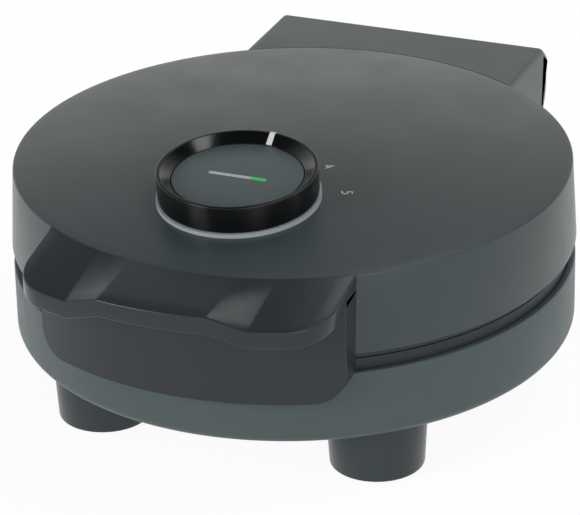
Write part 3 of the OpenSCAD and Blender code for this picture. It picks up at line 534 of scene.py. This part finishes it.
def from_node(node, welded=0.00002):
    """A welded copy of a CAD node's mesh, its flat areas made whole."""
    work = bmesh.new()
    work.from_mesh(frame["nodes"][node].data)
    bmesh.ops.remove_doubles(work, verts=work.verts, dist=welded)
    bmesh.ops.dissolve_limit(work, angle_limit=math.radians(0.8), verts=work.verts, edges=work.edges)
    mesh = bpy.data.meshes.new(node + "_copy")
    work.to_mesh(mesh)
    work.free()
    return mesh


def refined(node, name, finish, body, angle=32):
    """Stands a smooth-shaded copy of a CAD node in for it."""
    return place_piece(name, from_node(node), body, finish, [node], angle)


# Geometry Nodes

class Tree:
    """A Geometry Nodes tree with named inputs."""

    def __init__(self, name, inputs):
        self.tree = bpy.data.node_groups.new(name, "GeometryNodeTree")
        self.tree.interface.new_socket("Geometry", in_out="INPUT", socket_type="NodeSocketGeometry")
        self.sockets = {}
        for label, kind in inputs:
            self.sockets[label] = self.tree.interface.new_socket(
                label, in_out="INPUT", socket_type="NodeSocket" + kind)
        self.tree.interface.new_socket("Geometry", in_out="OUTPUT", socket_type="NodeSocketGeometry")
        self.given = self.tree.nodes.new("NodeGroupInput").outputs
        self.result = self.tree.nodes.new("NodeGroupOutput").inputs[0]

    def add(self, kind, links=None, **values):
        known = hasattr(bpy.types, "GeometryNode" + kind)
        node = self.tree.nodes.new("GeometryNode" + kind if known else kind)
        for label, value in values.items():
            setattr(node, label, value)
        for label, value in (links or {}).items():
            if hasattr(value, "is_linked"):
                self.tree.links.new(value, node.inputs[label])
            else:
                node.inputs[label].default_value = value
        return node.outputs[0]

    def close(self, geometry):
        whole = self.add("RealizeInstances", {"Geometry": geometry})
        painted = self.add("SetMaterial", {"Geometry": whole, "Material": self.given["Finish"]})
        self.tree.links.new(painted, self.result)
        return self


def ring_tree():
    """Copies of a piece round the axis, each turned outwards."""
    t = Tree("copies_in_a_ring", [("Count", "Int"), ("Radius", "Float"), ("First angle", "Float"),
                                  ("Finish", "Material")])
    circle = t.add("MeshCircle", {"Vertices": t.given["Count"], "Radius": t.given["Radius"]})
    index = t.add("InputIndex")
    step = t.add("ShaderNodeMath", {0: math.tau, 1: t.given["Count"]}, operation="DIVIDE")
    turned_by = t.add("ShaderNodeMath", {0: index, 1: step}, operation="MULTIPLY")
    turn = t.add("ShaderNodeCombineXYZ", {"Z": turned_by})
    ring = t.add("InstanceOnPoints", {"Points": circle, "Instance": t.given["Geometry"], "Rotation": turn})
    first = t.add("ShaderNodeCombineXYZ", {"Z": t.given["First angle"]})
    return t.close(t.add("Transform", {"Geometry": ring, "Rotation": first}))


def corner_tree():
    """Copies of a piece at the four corners of a rectangle."""
    t = Tree("copies_at_corners", [("Width", "Float"), ("Depth", "Float"), ("Finish", "Material")])
    grid = t.add("MeshGrid", {"Size X": t.given["Width"], "Size Y": t.given["Depth"],
                              "Vertices X": 2, "Vertices Y": 2})
    return t.close(t.add("InstanceOnPoints", {"Points": grid, "Instance": t.given["Geometry"]}))


TREES = {"ring": ring_tree(), "corners": corner_tree()}


def grown(name, mesh, tree, finish, matrix=AT_DRUM, **values):
    """Runs one tree on a mesh in millimetres and returns the plain mesh in metres."""
    holder = bpy.data.objects.new(name, mesh)
    bpy.context.scene.collection.objects.link(holder)
    step = holder.modifiers.new(name, "NODES")
    step.node_group = TREES[tree].tree
    for label, value in dict(values, Finish=FINISH[finish]).items():
        step[TREES[tree].sockets[label.replace("_", " ")].identifier] = value
    made = bpy.data.meshes.new_from_object(holder.evaluated_get(bpy.context.evaluated_depsgraph_get()))
    holder.modifiers.clear()
    bpy.data.objects.remove(holder)
    made.transform(Matrix.Scale(MM, 4) @ matrix)
    return made


def plain_mesh(work):
    """A mesh that is still in millimetres, for a tree or a cut."""
    mesh = bpy.data.meshes.new("shape")
    work.to_mesh(mesh)
    work.free()
    return mesh


# Base

def make_base():
    low, top, r = BASE_Z, BASE_TOP, BASE_R
    bowl = rounded([(0, low, 0), (r, low, 4.5), (r, top, 0.7), (r - WALL, top, 0.4),
                    (r - WALL, low + WALL, 2.5), (0, low + WALL, 0)], 8)
    box = rounded(rectangle(HOUSING_W, HOUSING_FRONT, HOUSING_BACK, 0, HOUSING_CORNER), 8)
    housing = to_mesh("housing", slab(box, HOUSING_LOW, HOUSING_TOP, 2.0, 0.0))
    drum_cut = to_mesh("drum_cut", turned([(0, 30), (r - 0.4, 30), (r - 0.4, 60), (0, 60)]))
    backwards = Matrix.Rotation(-math.pi / 2, 4, "X")
    gland = to_mesh("gland_cut", slab(arc(0, 0, GLAND_R, 0, 357, 48), -20, 20),
                    AT_DRUM @ Matrix.Translation((GLAND_X, HOUSING_BACK, GLAND_Z)) @ backwards)
    room = rounded(rectangle(HOUSING_W - WALL, 90, HOUSING_BACK - WALL, 0, HOUSING_CORNER - WALL), 6)
    hollow = to_mesh("hollow", slab(room, HOUSING_LOW + WALL, 60.0))
    housing = less(less(less(housing, drum_cut), gland), hollow)
    slot = rounded(rectangle(VENT_HALF, -VENT_HALF_W, VENT_HALF_W, VENT_ROUND, VENT_ROUND), 4)
    vents = grown("vents", plain_mesh(slab(slot, low - 3, low + 6)), "ring", "base_plastic",
                  Count=VENTS, Radius=VENT_RING_R, First_angle=0.0)
    bore = slab(arc(0, 0, BORE_R, 0, 345, 23), low - 3, low + 4)
    bores = grown("bores", plain_mesh(bore), "ring", "base_plastic",
                  Count=BORES, Radius=BORE_RING_R, First_angle=math.radians(45))
    bowl_mesh = less(less(to_mesh("bowl", turned(bowl)), vents), bores)
    shell = merged("base_shell_moulding", [bowl_mesh, housing])
    place_piece("base_moulding", shell, "base", "base_plastic", ["base_shell"])


def make_feet():
    foot = rounded([(0, FOOT_LOW, 0), (FOOT_LOW_R, FOOT_LOW, 1.0), (FOOT_TOP_R, BASE_Z, 0.5),
                    (0, BASE_Z, 0)], 5)
    well_r = PAD_R + PAD_FIT
    well = turned([(0, -1), (well_r, -1), (well_r, PAD_H), (0, PAD_H)], 96)
    foot_mesh = less(plain_mesh(turned(foot, 96)), plain_mesh(well))
    made = grown("feet", foot_mesh, "corners", "foot_plastic", Width=2 * FOOT_X, Depth=2 * FOOT_Y)
    place_piece("foot_set", made, "base", "foot_plastic", ["feet"])
    groove = [(9.0, 0, 0.3), (10.0, 0.5, 0.3), (11.0, 0, 0.3)]
    pad = rounded([(0, 0, 0)] + groove + [(PAD_R, 0, 0.6), (PAD_R, PAD_H, 0.2), (0, PAD_H, 0)], 4)
    made = grown("pads", plain_mesh(turned(pad, 96)), "corners", "pad_rubber",
                 Width=2 * FOOT_X, Depth=2 * FOOT_Y)
    place_piece("pad_set", made, "base", "pad_rubber", ["foot_pads"])


# Lid

def dome(radius, lower=0.0):
    """Height of the lid's spherical top at a radius, or of a sphere inside it."""
    return DOME_Z + math.sqrt((DOME_R - lower) ** 2 - radius ** 2)


def make_lid():
    edge_r = LID_TOP_R - 0.9
    outside = [(r, dome(r)) for r in (edge_r - edge_r * (1 - k / 28) for k in range(29))]
    edge = rounded([(LID_TOP_R - 6, dome(LID_TOP_R - 6), 0), (LID_TOP_R, LID_TOP, 0.8),
                    (LID_LOW_R, LID_LOW, 0.5), (LID_LOW_R - WALL, LID_LOW, 0.5),
                    (LID_TOP_R - WALL, LID_TOP - WALL, 1.5)], 6)[1:]
    inside = [(r, dome(r, WALL)) for r in [(LID_TOP_R - 5) * (1 - k / 12) for k in range(13)]]
    profile = [p for p in outside if p[0] < LID_TOP_R - 2.5] + edge + inside
    seat_r = SEAT_R + SEAT_FIT
    pocket = to_mesh("pocket", turned([(0, -30), (GEAR_ROOM_R, -30), (GEAR_ROOM_R, SEAT_LOW),
                                       (seat_r, SEAT_LOW), (seat_r, 20), (0, 20)]), AT_DIAL)
    forwards = Matrix.Rotation(math.pi / 2, 4, "X")
    lead_hole = to_mesh("lead_hole", slab(arc(0, 0, LEAD_R, 0, 345, 23), -20, 20),
                        AT_DRUM @ Matrix.Translation((LEAD_X, LEAD_Y, HINGE_Z)) @ forwards)
    lid = less(less(to_mesh("lid", turned(profile)), pocket), lead_hole)
    place_piece("lid_dome", lid, "lid", "lid_plastic", ["lid_shell"], 28)


def lid_space():
    """The room that the lid's wall takes up, to cut what is fitted against it."""
    return to_mesh("lid_space", turned([
        (0, 60), (LID_LOW_R, 60), (LID_LOW_R + LID_FIT, LID_LOW), (LID_TOP_R + LID_FIT, LID_TOP),
        (LID_TOP_R + LID_FIT, 130), (0, 130)]))


def lip_outline():
    """An arc round the drum's axis, a round corner at each end, and straight sides."""
    x = HANDLE_W - LIP_CORNER
    y = -math.sqrt((LIP_REACH - LIP_CORNER) ** 2 - x ** 2)
    turn = math.degrees(math.atan2(y, x))
    left = arc(-x, y, LIP_CORNER, -180, -180 - turn, 14)
    front = arc(0, 0, LIP_REACH, -180 - turn, turn, 40)
    right = arc(x, y, LIP_CORNER, turn, 0, 14)
    return left[:-1] + front[:-1] + right + [(HANDLE_W, LIP_BACK), (-HANDLE_W, LIP_BACK)]


def lip_top(x, y):
    """The lip's top: the lid's edge at the back, and at the front a wave with two straight slopes."""
    front = LID_TOP - LIP_DROP
    near = range(-2, 3)
    for k in near:
        out = abs(x + LIP_SOFT * k)
        front += LIP_RISE * max(0.0, min(1.0, (LIP_MID + LIP_RAMP - out) / LIP_RAMP)) / len(near)
    return front + (LID_TOP - front) * (LIP_REACH - math.hypot(x, y)) / (LIP_REACH - LID_TOP_R)


def lid_wall_radius(z):
    """Radius of what lies behind the flap at a height."""
    if z < LID_LOW:
        return BASE_R + BASE_FIT
    return LID_LOW_R + (LID_TOP_R - LID_LOW_R) * (z - LID_LOW) / (LID_TOP - LID_LOW) + LID_FIT


def make_handle():
    lip = slab(lip_outline(), 0.0, LIP_T, LIP_EDGE, LIP_EDGE, 4)
    end = LIP_MID + LIP_RAMP
    slope = [LIP_MID - LIP_BEND, LIP_MID, LIP_MID + LIP_BEND, 25, 29, 33, end - LIP_BEND, end, end + LIP_BEND]
    outwards = [k * 4.0 for k in range(6)] + slope + [41, 46, 51, 57]
    cut_across(lip, "x", sorted({round(side * x, 3) for side in (-1, 1) for x in outwards}))
    cut_across(lip, "y", [-88 - 5 * k for k in range(10)])
    remap(lip, lambda p: Vector((p.x, p.y, p.z - LIP_T + lip_top(p.x, p.y))))
    lip_mesh = less(to_mesh("lip", lip), lid_space())

    low, high = LID_TOP - FLAP_DEPTH, LID_TOP - LIP_DROP + FLAP_OVERLAP
    face = rounded(rectangle(HANDLE_W, low, high, FLAP_CORNER, 0), 10)
    flap = slab(face, 0.0, 1.0, 0.0, 0.12, 5)
    cut_across(flap, "x", [k * FLAP_STEP for k in range(-19, 20)])
    cut_across(flap, "y", [LID_LOW, 70, 80])

    def bend(p):
        x, z, t = p
        front = math.sqrt(FLAP_R ** 2 - x * x)
        back = math.sqrt(lid_wall_radius(z) ** 2 - x * x)
        return Vector((x, -(back + (front - back) * t), z))

    remap(flap, bend)
    bmesh.ops.recalc_face_normals(flap, faces=flap.faces)
    moulding = merged("handle_moulding", [lip_mesh, to_mesh("flap", flap)])
    place_piece("handle_moulding", moulding, "lid", "handle_plastic", ["lid_handle"], 30)


def make_hinge_cover():
    """A hollow block round the pins, open below, with a slot for each arm and four ears on the pins."""
    upright = AT_DRUM @ Matrix(((0, 0, 1, 0), (1, 0, 0, 0), (0, 1, 0, 0), (0, 0, 0, 1)))
    back = arc(HINGE_Y, HINGE_Z, COVER_R, COVER_FROM, COVER_TO, 24)
    corners = [(COVER_FRONT, LID_LOW, 0), (*back[0], 0.6)] + [(y, z, 0) for y, z in back[1:]]
    corners += [(COVER_BACK, LID_TOP, 2.0), (COVER_FRONT, LID_TOP, 0)]
    block = slab(rounded(corners, 5), -COVER_W, COVER_W, COVER_EDGE, COVER_EDGE, 5)
    room = [(COVER_FRONT, ROOM_LOW), (ROOM_MOUTH, ROOM_LOW)]
    room += arc(HINGE_Y, HINGE_Z, COVER_R - WALL, ROOM_FROM, ROOM_TO, 20) + [(COVER_FRONT, LID_TOP - WALL)]
    room_cut = to_mesh("room", slab(room, -COVER_W + WALL, COVER_W - WALL), upright)
    cover = less(to_mesh("cover", block, upright), room_cut)
    for x in ARM_SPOTS:
        gap = [(x - ARM_GAP_W, ARM_GAP_FRONT), (x + ARM_GAP_W, ARM_GAP_FRONT),
               (x + ARM_GAP_W, 150), (x - ARM_GAP_W, 150)]
        cover = less(cover, to_mesh("gap", slab(gap, 40, HINGE_Z + ARM_GAP_RISE)))
    cover = less(cover, lid_space())
    ear = arc(HINGE_Y, HINGE_Z, EAR_R, 180, 360, 20) + [(EAR_BACK, LID_TOP - 1), (EAR_FRONT, LID_TOP - 1)]
    ears = to_mesh("ears", joined(*[slab(ear, x, x + EAR_T) for x in EAR_SPOTS]), upright)
    along_pin = Matrix.Translation((0, HINGE_Y, HINGE_Z)) @ Matrix.Rotation(math.pi / 2, 4, "Y")
    pin_hole = to_mesh("pin_hole", slab(arc(0, 0, PIN_R, 0, 345, 23), -PIN_END, PIN_END), AT_DRUM @ along_pin)
    made = merged("hinge_block", [cover, less(ears, pin_hole)])
    place_piece("hinge_block", made, "lid", "hinge_plastic", ["hinge_cover"], 30)


# Plates

def make_plate(name, node, body, face_z, flip):
    """A baking plate: a disc with grooves and a pattern, on bosses.

    Known fault: the cut of the large petals leaves nothing of the disc, so only the bosses show.
    """
    t, r = PLATE_T, PLATE_R
    grooves = []
    for at in (24, r - 16, r - 4):
        grooves += [(at - 1.6, 0, 0.15), (at - GROOVE_W, GROOVE_DEPTH, 0.3), (at - 0.1, GROOVE_DEPTH, 0.3),
                    (at, 0, 0.15)]
    profile = rounded([(0, 0, 0)] + grooves + [(r, 0, 0.5), (r, t, 0.4), (0, t, 0)], 3)
    disc = plain_mesh(turned(profile, 180))
    along = [PETAL_X - PETAL_HALF * math.cos(math.pi * k / 10) for k in range(11)]
    half = [(x, math.sqrt(max(0, PETAL_R ** 2 - (x - PETAL_X) ** 2)) - PETAL_SINK) for x in along]
    lens = [(PETAL_X + (x - PETAL_X) * PETAL_SCALE, -max(0.0, y)) for x, y in half]
    lens += [(PETAL_X + (x - PETAL_X) * PETAL_SCALE, max(0.0, y)) for x, y in reversed(half[1:-1])]
    small = [(SMALL_X + (x - PETAL_X) * SMALL_SCALE, y * SMALL_SCALE) for x, y in lens]
    dot = arc(0, 0, DOT_R, 0, 345, 23)
    in_millimetres = Matrix.Scale(1 / MM, 4)
    for shape, count, radius, first in ((lens, PETALS, ON_AXIS, 0.0), (small, SMALL_PETALS, ON_AXIS, 0.0),
                                        (dot, DOTS, DOT_RING_R, 15.0)):
        ring = grown("pattern", plain_mesh(slab(shape, -1.0, PATTERN_DEPTH)), "ring", "plate_coating",
                     in_millimetres, Count=count, Radius=radius, First_angle=math.radians(first))
        disc = less(disc, ring)
    boss = slab(arc(0, 0, BOSS_R, 0, 350, 35), t - 0.5, t + BOSS_H)
    bosses = grown("bosses", plain_mesh(boss), "ring", "plate_coating", in_millimetres,
                   Count=BOSSES, Radius=BOSS_RING_R, First_angle=math.radians(30))
    mesh = merged(name, [disc, bosses])
    turn = Matrix.Scale(-1, 4, (0, 0, 1)) if flip else Matrix.Identity(4)
    mesh.transform(Matrix.Scale(MM, 4) @ AT_DRUM @ Matrix.Translation((0, 0, face_z)) @ turn)
    if flip:
        mesh.flip_normals()
    place_piece(name, mesh, body, "plate_coating", [node], 30)


# Dial

def make_dial():
    knob = rounded([(KNOB_IN_R, KNOB_LOW, 0.2), (DIAL_R, KNOB_LOW, 0.4), (DIAL_R, DIAL_H, 0.45),
                    (BEVEL_TOP_R, DIAL_H, 0.3), (BEVEL_LOW_R, DISC_H, 0.2), (BEVEL_LOW_R, KNOB_STEP, 0),
                    (KNOB_IN_R, KNOB_STEP, 0)], 6)
    place_piece("dial_knob", to_mesh("knob", turned(knob), AT_DIAL), "dial", "dial_gloss", ["dial_ring"], 25)

    mark = slab([(MARK_FIRST, -MARK_HALF_W), (MARK_LAST, -MARK_HALF_W), (MARK_LAST, MARK_HALF_W),
                 (MARK_FIRST, MARK_HALF_W)], MARK_LOW, MARK_HIGH)
    cut_across(mark, "x", [BEVEL_TOP_R - 0.1, BEVEL_TOP_R + 0.1])

    def on_bevel(p):
        up = min(1.0, (p.x - BEVEL_LOW_R) / (BEVEL_TOP_R - BEVEL_LOW_R))
        return Vector((p.x, p.y, p.z + DISC_H + up * (DIAL_H - DISC_H)))

    remap(mark, on_bevel)
    at_mark = AT_DIAL @ Matrix.Rotation(math.radians(MARK_TURN), 4, "Z")
    place_piece("dial_mark", to_mesh("mark", mark, at_mark), "dial", "pointer_white", ["dial_pointer"], 25)

    seat = rounded([(SEAT_IN_R, SEAT_LOW, 0), (SEAT_R, SEAT_LOW, 0.2), (SEAT_R, SEAT_TOP, 0.35),
                    (SEAT_IN_R, SEAT_TOP, 0)], 5)
    place_piece("dial_seat_rim", to_mesh("seat", turned(seat), AT_DIAL), "lid", "dial_seat_plastic", (), 25)

    disc = rounded([(0, DISC_LOW, 0), (DISC_R, DISC_LOW, 0), (DISC_R, DISC_H, 0.25), (0, DISC_H, 0)], 4)
    half, half_w = BAR_HALF + BAR_FIT, BAR_HALF_W + BAR_FIT
    slot = slab([(-half, -half_w), (half, -half_w), (half, half_w), (-half, half_w)], 0, 20)
    plate = less(to_mesh("disc", turned(disc), AT_DIAL), to_mesh("bar", slot, AT_DIAL))
    place_piece("dial_plate", plate, "lid", "disc_plastic", ["dial_disc"], 25)

    bar = rounded([(-BAR_HALF, -BAR_HALF_W, 0.3), (BAR_HALF, -BAR_HALF_W, 0.9), (BAR_HALF, BAR_HALF_W, 0.9),
                   (-BAR_HALF, BAR_HALF_W, 0.3)], 4)
    light = to_mesh("light", slab(bar, -BAR_DEPTH, DISC_H, 0, 0.12, 3), AT_DIAL)
    place_piece("light_line", light, "lid", "lens", ["light_bar"], 25)


def make_digits():
    """The heat steps 1 to 5, printed flat on the dome round the dial."""
    shapes = []
    for k, figure in enumerate("54321"):
        text = bpy.data.curves.new("digit", "FONT")
        text.body, text.align_x, text.align_y = figure, "CENTER", "CENTER"
        text.size, text.extrude, text.offset = DIGIT_SIZE, DIGIT_T, -0.01
        holder = bpy.data.objects.new("digit", text)
        bpy.context.scene.collection.objects.link(holder)
        mesh = bpy.data.meshes.new_from_object(holder.evaluated_get(bpy.context.evaluated_depsgraph_get()))
        bpy.data.objects.remove(holder)
        a = math.radians(DIGIT_FIRST + DIGIT_STEP * k)
        x, y = DIGIT_R * math.cos(a), DIGIT_R * math.sin(a) - DIAL_Y
        z = dome(math.hypot(x, y)) + DIGIT_T
        up = Vector((x, y, z - DOME_Z)).normalized()
        out = Vector((math.cos(a), math.sin(a), 0))
        out = (out - up * out.dot(up)).normalized()
        right = out.cross(up)
        turn = Matrix((right, out, up)).transposed().to_4x4()
        mesh.transform(AT_DRUM @ Matrix.Translation((x, y, z)) @ turn)
        shapes.append(mesh)
    printed = merged("heat_steps", shapes)
    printed.transform(Matrix.Scale(MM, 4))
    place_piece("heat_steps", printed, "lid", "digit_print", (), 30)


# Stage

def softbox(name, spot, aim, width, height, power):
    """A rectangular lamp at a spot, turned to its aim; sizes in metres, power in watts."""
    lamp = bpy.data.lights.new(name, "AREA")
    lamp.shape, lamp.size, lamp.size_y, lamp.energy = "RECTANGLE", width, height, power
    holder = bpy.data.objects.new(name, lamp)
    holder.location = spot
    holder.rotation_mode = "QUATERNION"
    holder.rotation_quaternion = (Vector(aim) - Vector(spot)).to_track_quat("-Z", "Y")
    bpy.context.scene.collection.objects.link(holder)


def make_stage():
    """A floor that the camera and glossy pieces see as white, with the object's shadow, and soft lamps."""
    half, grey, glow_level, glow_share = 20, 0.86, 1.08, 0.86
    floor = bpy.data.meshes.new("floor")
    corners = [(-half, -half, 0), (half, -half, 0), (half, half, 0), (-half, half, 0)]
    floor.from_pydata(corners, [], [(0, 1, 2, 3)])
    holder = bpy.data.objects.new("floor", floor)
    bpy.context.scene.collection.objects.link(holder)
    material = bpy.data.materials.new("pale_floor")
    material.use_nodes = True
    tree = material.node_tree
    shader = tree.nodes["Principled BSDF"]
    shader.inputs["Base Color"].default_value = (grey, grey, grey, 1)
    shader.inputs["Roughness"].default_value = 0.9
    shader.inputs["Specular IOR Level"].default_value = 0.1
    ray = tree.nodes.new("ShaderNodeLightPath")
    glow = tree.nodes.new("ShaderNodeEmission")
    glow.inputs["Strength"].default_value = glow_level
    blend = tree.nodes.new("ShaderNodeMixShader")
    seen = maths(tree, "MAXIMUM", ray.outputs["Is Camera Ray"], ray.outputs["Is Glossy Ray"])
    join(tree, [(maths(tree, "MULTIPLY", seen, glow_share), blend.inputs[0]),
                (shader.outputs[0], blend.inputs[1]), (glow.outputs[0], blend.inputs[2]),
                (blend.outputs[0], tree.nodes["Material Output"].inputs["Surface"])])
    floor.materials.append(material)

    world = bpy.data.worlds.new("studio")
    bpy.context.scene.world = world
    world.use_nodes = True
    tree = world.node_tree
    background = tree.nodes["Background"]
    ray = tree.nodes.new("ShaderNodeLightPath")
    up = tree.nodes.new("ShaderNodeSeparateXYZ")
    join(tree, [(tree.nodes.new("ShaderNodeTexCoord").outputs["Generated"], up.inputs[0])])
    mirrored = mixed(tree, spread(tree, up.outputs["Z"], 0.30, 0.66), (1, 1, 1, 1), (0.06, 0.06, 0.065, 1))
    plain = mixed(tree, spread(tree, up.outputs["Z"], 0.0, 0.9), (0.66, 0.66, 0.66, 1), (0.10, 0.10, 0.10, 1))
    glossy = mixed(tree, ray.outputs["Is Glossy Ray"], plain, mirrored)
    seen = maths(tree, "MAXIMUM", ray.outputs["Is Camera Ray"], ray.outputs["Is Transmission Ray"])
    join(tree, [(mixed(tree, seen, glossy, (1, 1, 1, 1)), background.inputs["Color"])])

    softbox("left_softbox", (-1.1, -1.7, 0.75), (0, 0, 0.06), 0.8, 0.8, 17)
    softbox("right_softbox", (1.3, -1.3, 0.60), (0, 0, 0.06), 0.7, 0.8, 7)
    softbox("high_softbox", (0.95, 0.0, 1.8), (0, 0, 0.1), 0.55, 0.65, 5.0)
    softbox("rear_softbox", (0.12, 0.85, 1.35), (0, -0.1, 0.1), 0.7, 0.4, 2.2)
    softbox("side_softbox", (1.9, 0.5, 0.7), (0, 0.1, 0.08), 0.6, 0.6, 2.5)


photo_camera()
make_stage()
make_base()
make_feet()
make_lid()
make_handle()
make_hinge_cover()
make_plate("lower_plate", "lower_baking_plate", "base", LOWER_FACE, True)
make_plate("upper_plate", "upper_baking_plate", "lid", UPPER_FACE, False)
make_dial()
make_digits()
for node, name, body, finish in (
        ("base_rim_ring", "base_rim", "base", "rim_plastic"),
        ("lid_rim_ring", "lid_rim", "lid", "rim_plastic"),
        ("hinge_bracket", "hinge_arms", "base", "hinge_plastic"),
        ("cord_gland", "cord_bush", "base", "gland_rubber"),
        ("hinge_pins", "hinge_pin_pair", "base", "steel")):
    refined(node, name, finish, body)
for node, holder in frame["nodes"].items():
    holder.data.materials.clear()
    holder.data.materials.append(FINISH[SLOT_OF[node]])

bpy.context.scene.view_settings.view_transform = "Standard"
